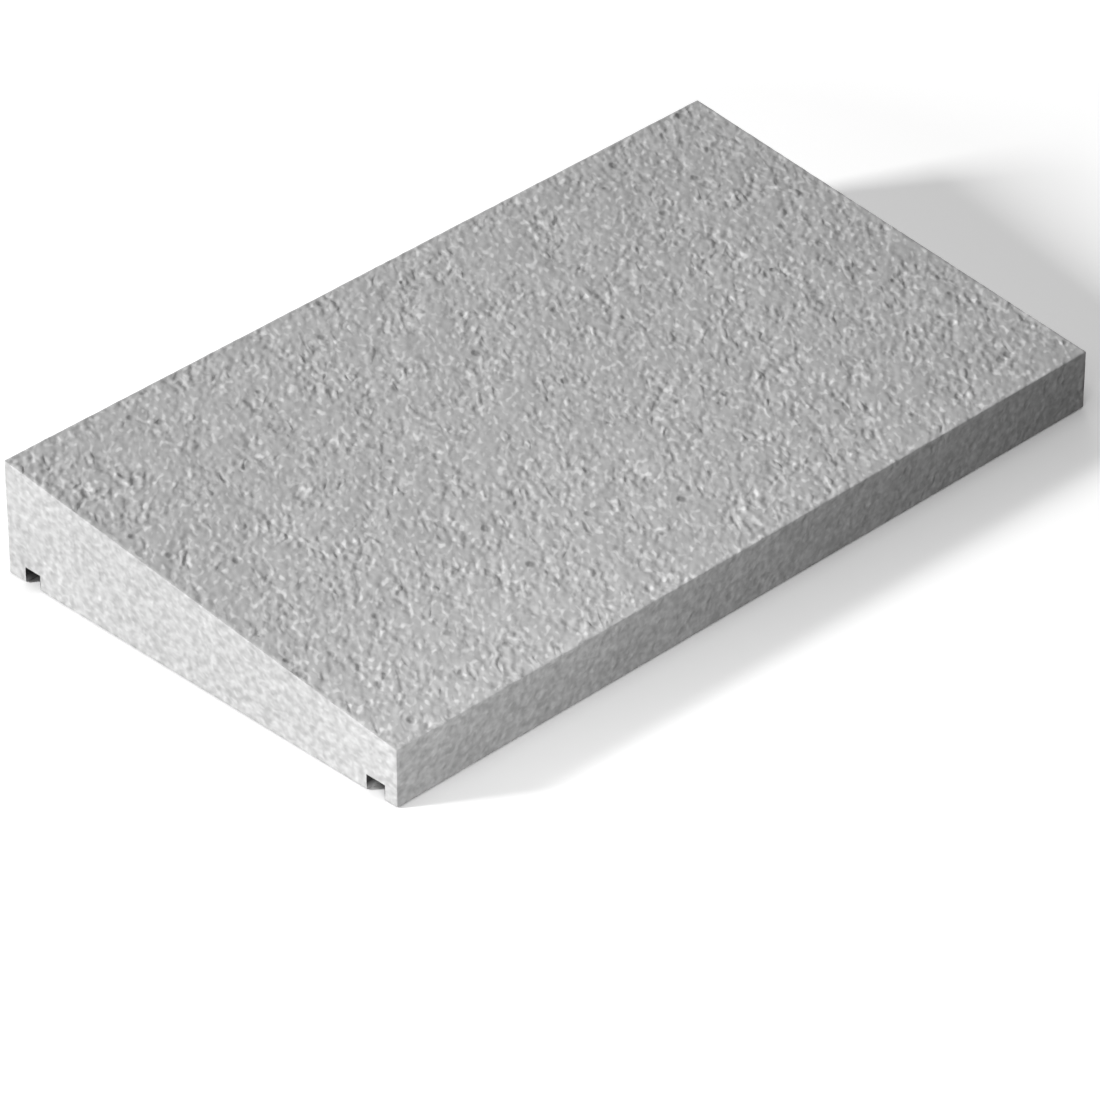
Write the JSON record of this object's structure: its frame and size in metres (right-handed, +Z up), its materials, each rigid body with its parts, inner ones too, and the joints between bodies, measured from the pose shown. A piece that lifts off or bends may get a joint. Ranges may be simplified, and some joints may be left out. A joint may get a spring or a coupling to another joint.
{
  "type": "coping stone",
  "caption": "Once-weathered precast concrete coping stone that caps a free-standing wall: one sloping top, plain flat ends and a square drip groove under each overhang.",
  "frame": {"origin": "the middle of the bed, the flat underside that lies on the wall", "axes": "+X along the wall, +Y across it towards the high edge, +Z up"},
  "size_m": [0.6, 0.34, 0.0819],
  "materials": {
    "cast_concrete": "pale grey, matt, rough as cast"
  },
  "bodies": {
    "root": {"coping_stone": "cast_concrete"}
  },
  "joints": []
}
